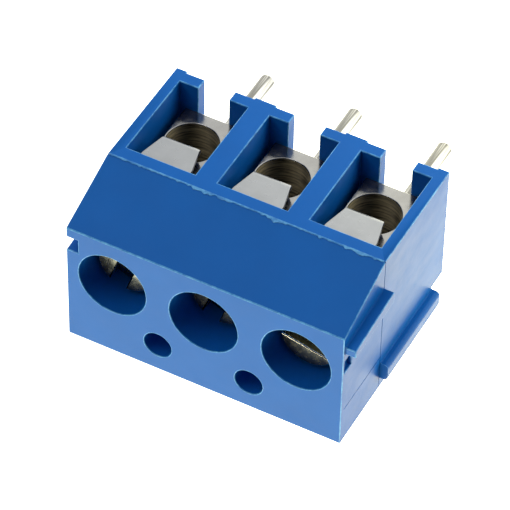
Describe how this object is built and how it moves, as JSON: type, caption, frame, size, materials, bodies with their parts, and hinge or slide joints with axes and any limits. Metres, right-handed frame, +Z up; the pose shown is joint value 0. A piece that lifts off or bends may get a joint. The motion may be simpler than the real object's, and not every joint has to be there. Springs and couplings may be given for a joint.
{
  "type": "PCB screw terminal block",
  "caption": "Small blue three-pole screw terminal block with wire guards, soldered to a circuit board by a pin under each pole.",
  "frame": {"origin": "on the board seat (the flat underside), in the middle of the width, 6.1 mm behind the front face and 2.15 mm behind the solder pins", "axes": "+Z up from the board through the screw heads, -Y out of the wire entries, X along the row of poles"},
  "size_m": [0.0156, 0.009, 0.016],
  "materials": {
    "housing_plastic": "semi-gloss blue injection-moulded polyamide or PBT",
    "tinned_brass": "bright tin plate over brass, smooth outside, drawn marks inside the bore",
    "pin_tin": "bright tin plate over drawn wire",
    "zinc_steel": "zinc plated steel, slightly yellowish",
    "guard_steel": "tin plated spring sheet, rolled finish"
  },
  "bodies": {
    "terminal_body": {"housing": "housing_plastic", "contact_block_1": "tinned_brass", "contact_block_2": "tinned_brass", "contact_block_3": "tinned_brass", "solder_pin_1": "pin_tin", "solder_pin_2": "pin_tin", "solder_pin_3": "pin_tin"},
    "guard_1": {"wire_guard_1": "guard_steel"},
    "screw_1": {"clamp_screw_1": "zinc_steel"},
    "guard_2": {"wire_guard_2": "guard_steel"},
    "screw_2": {"clamp_screw_2": "zinc_steel"},
    "guard_3": {"wire_guard_3": "guard_steel"},
    "screw_3": {"clamp_screw_3": "zinc_steel"}
  },
  "joints": [
    {"name": "clamp_1_drop", "type": "slide", "parent": "terminal_body", "child": "guard_1", "axis": [0, 0, -1], "range_m": [0, 0.0014]},
    {"name": "screw_1_turn", "type": "hinge", "parent": "guard_1", "child": "screw_1", "pos_m": [0.005, -0.0018, 0.0082], "axis": [0, 0, -1], "range_deg": [0, 1009]},
    {"name": "clamp_2_drop", "type": "slide", "parent": "terminal_body", "child": "guard_2", "axis": [0, 0, -1], "range_m": [0, 0.0011]},
    {"name": "screw_2_turn", "type": "hinge", "parent": "guard_2", "child": "screw_2", "pos_m": [0, -0.0018, 0.0082], "axis": [0, 0, -1], "range_deg": [0, 793]},
    {"name": "clamp_3_drop", "type": "slide", "parent": "terminal_body", "child": "guard_3", "axis": [0, 0, -1], "range_m": [0, 0.0014]},
    {"name": "screw_3_turn", "type": "hinge", "parent": "guard_3", "child": "screw_3", "pos_m": [-0.005, -0.0018, 0.0082], "axis": [0, 0, -1], "range_deg": [0, 1009]}
  ],
  "couplings": [
    {"joint": "screw_1_turn", "follows": "clamp_1_drop", "rad_per_m": 12566},
    {"joint": "screw_2_turn", "follows": "clamp_2_drop", "rad_per_m": 12566},
    {"joint": "screw_3_turn", "follows": "clamp_3_drop", "rad_per_m": 12566}
  ]
}
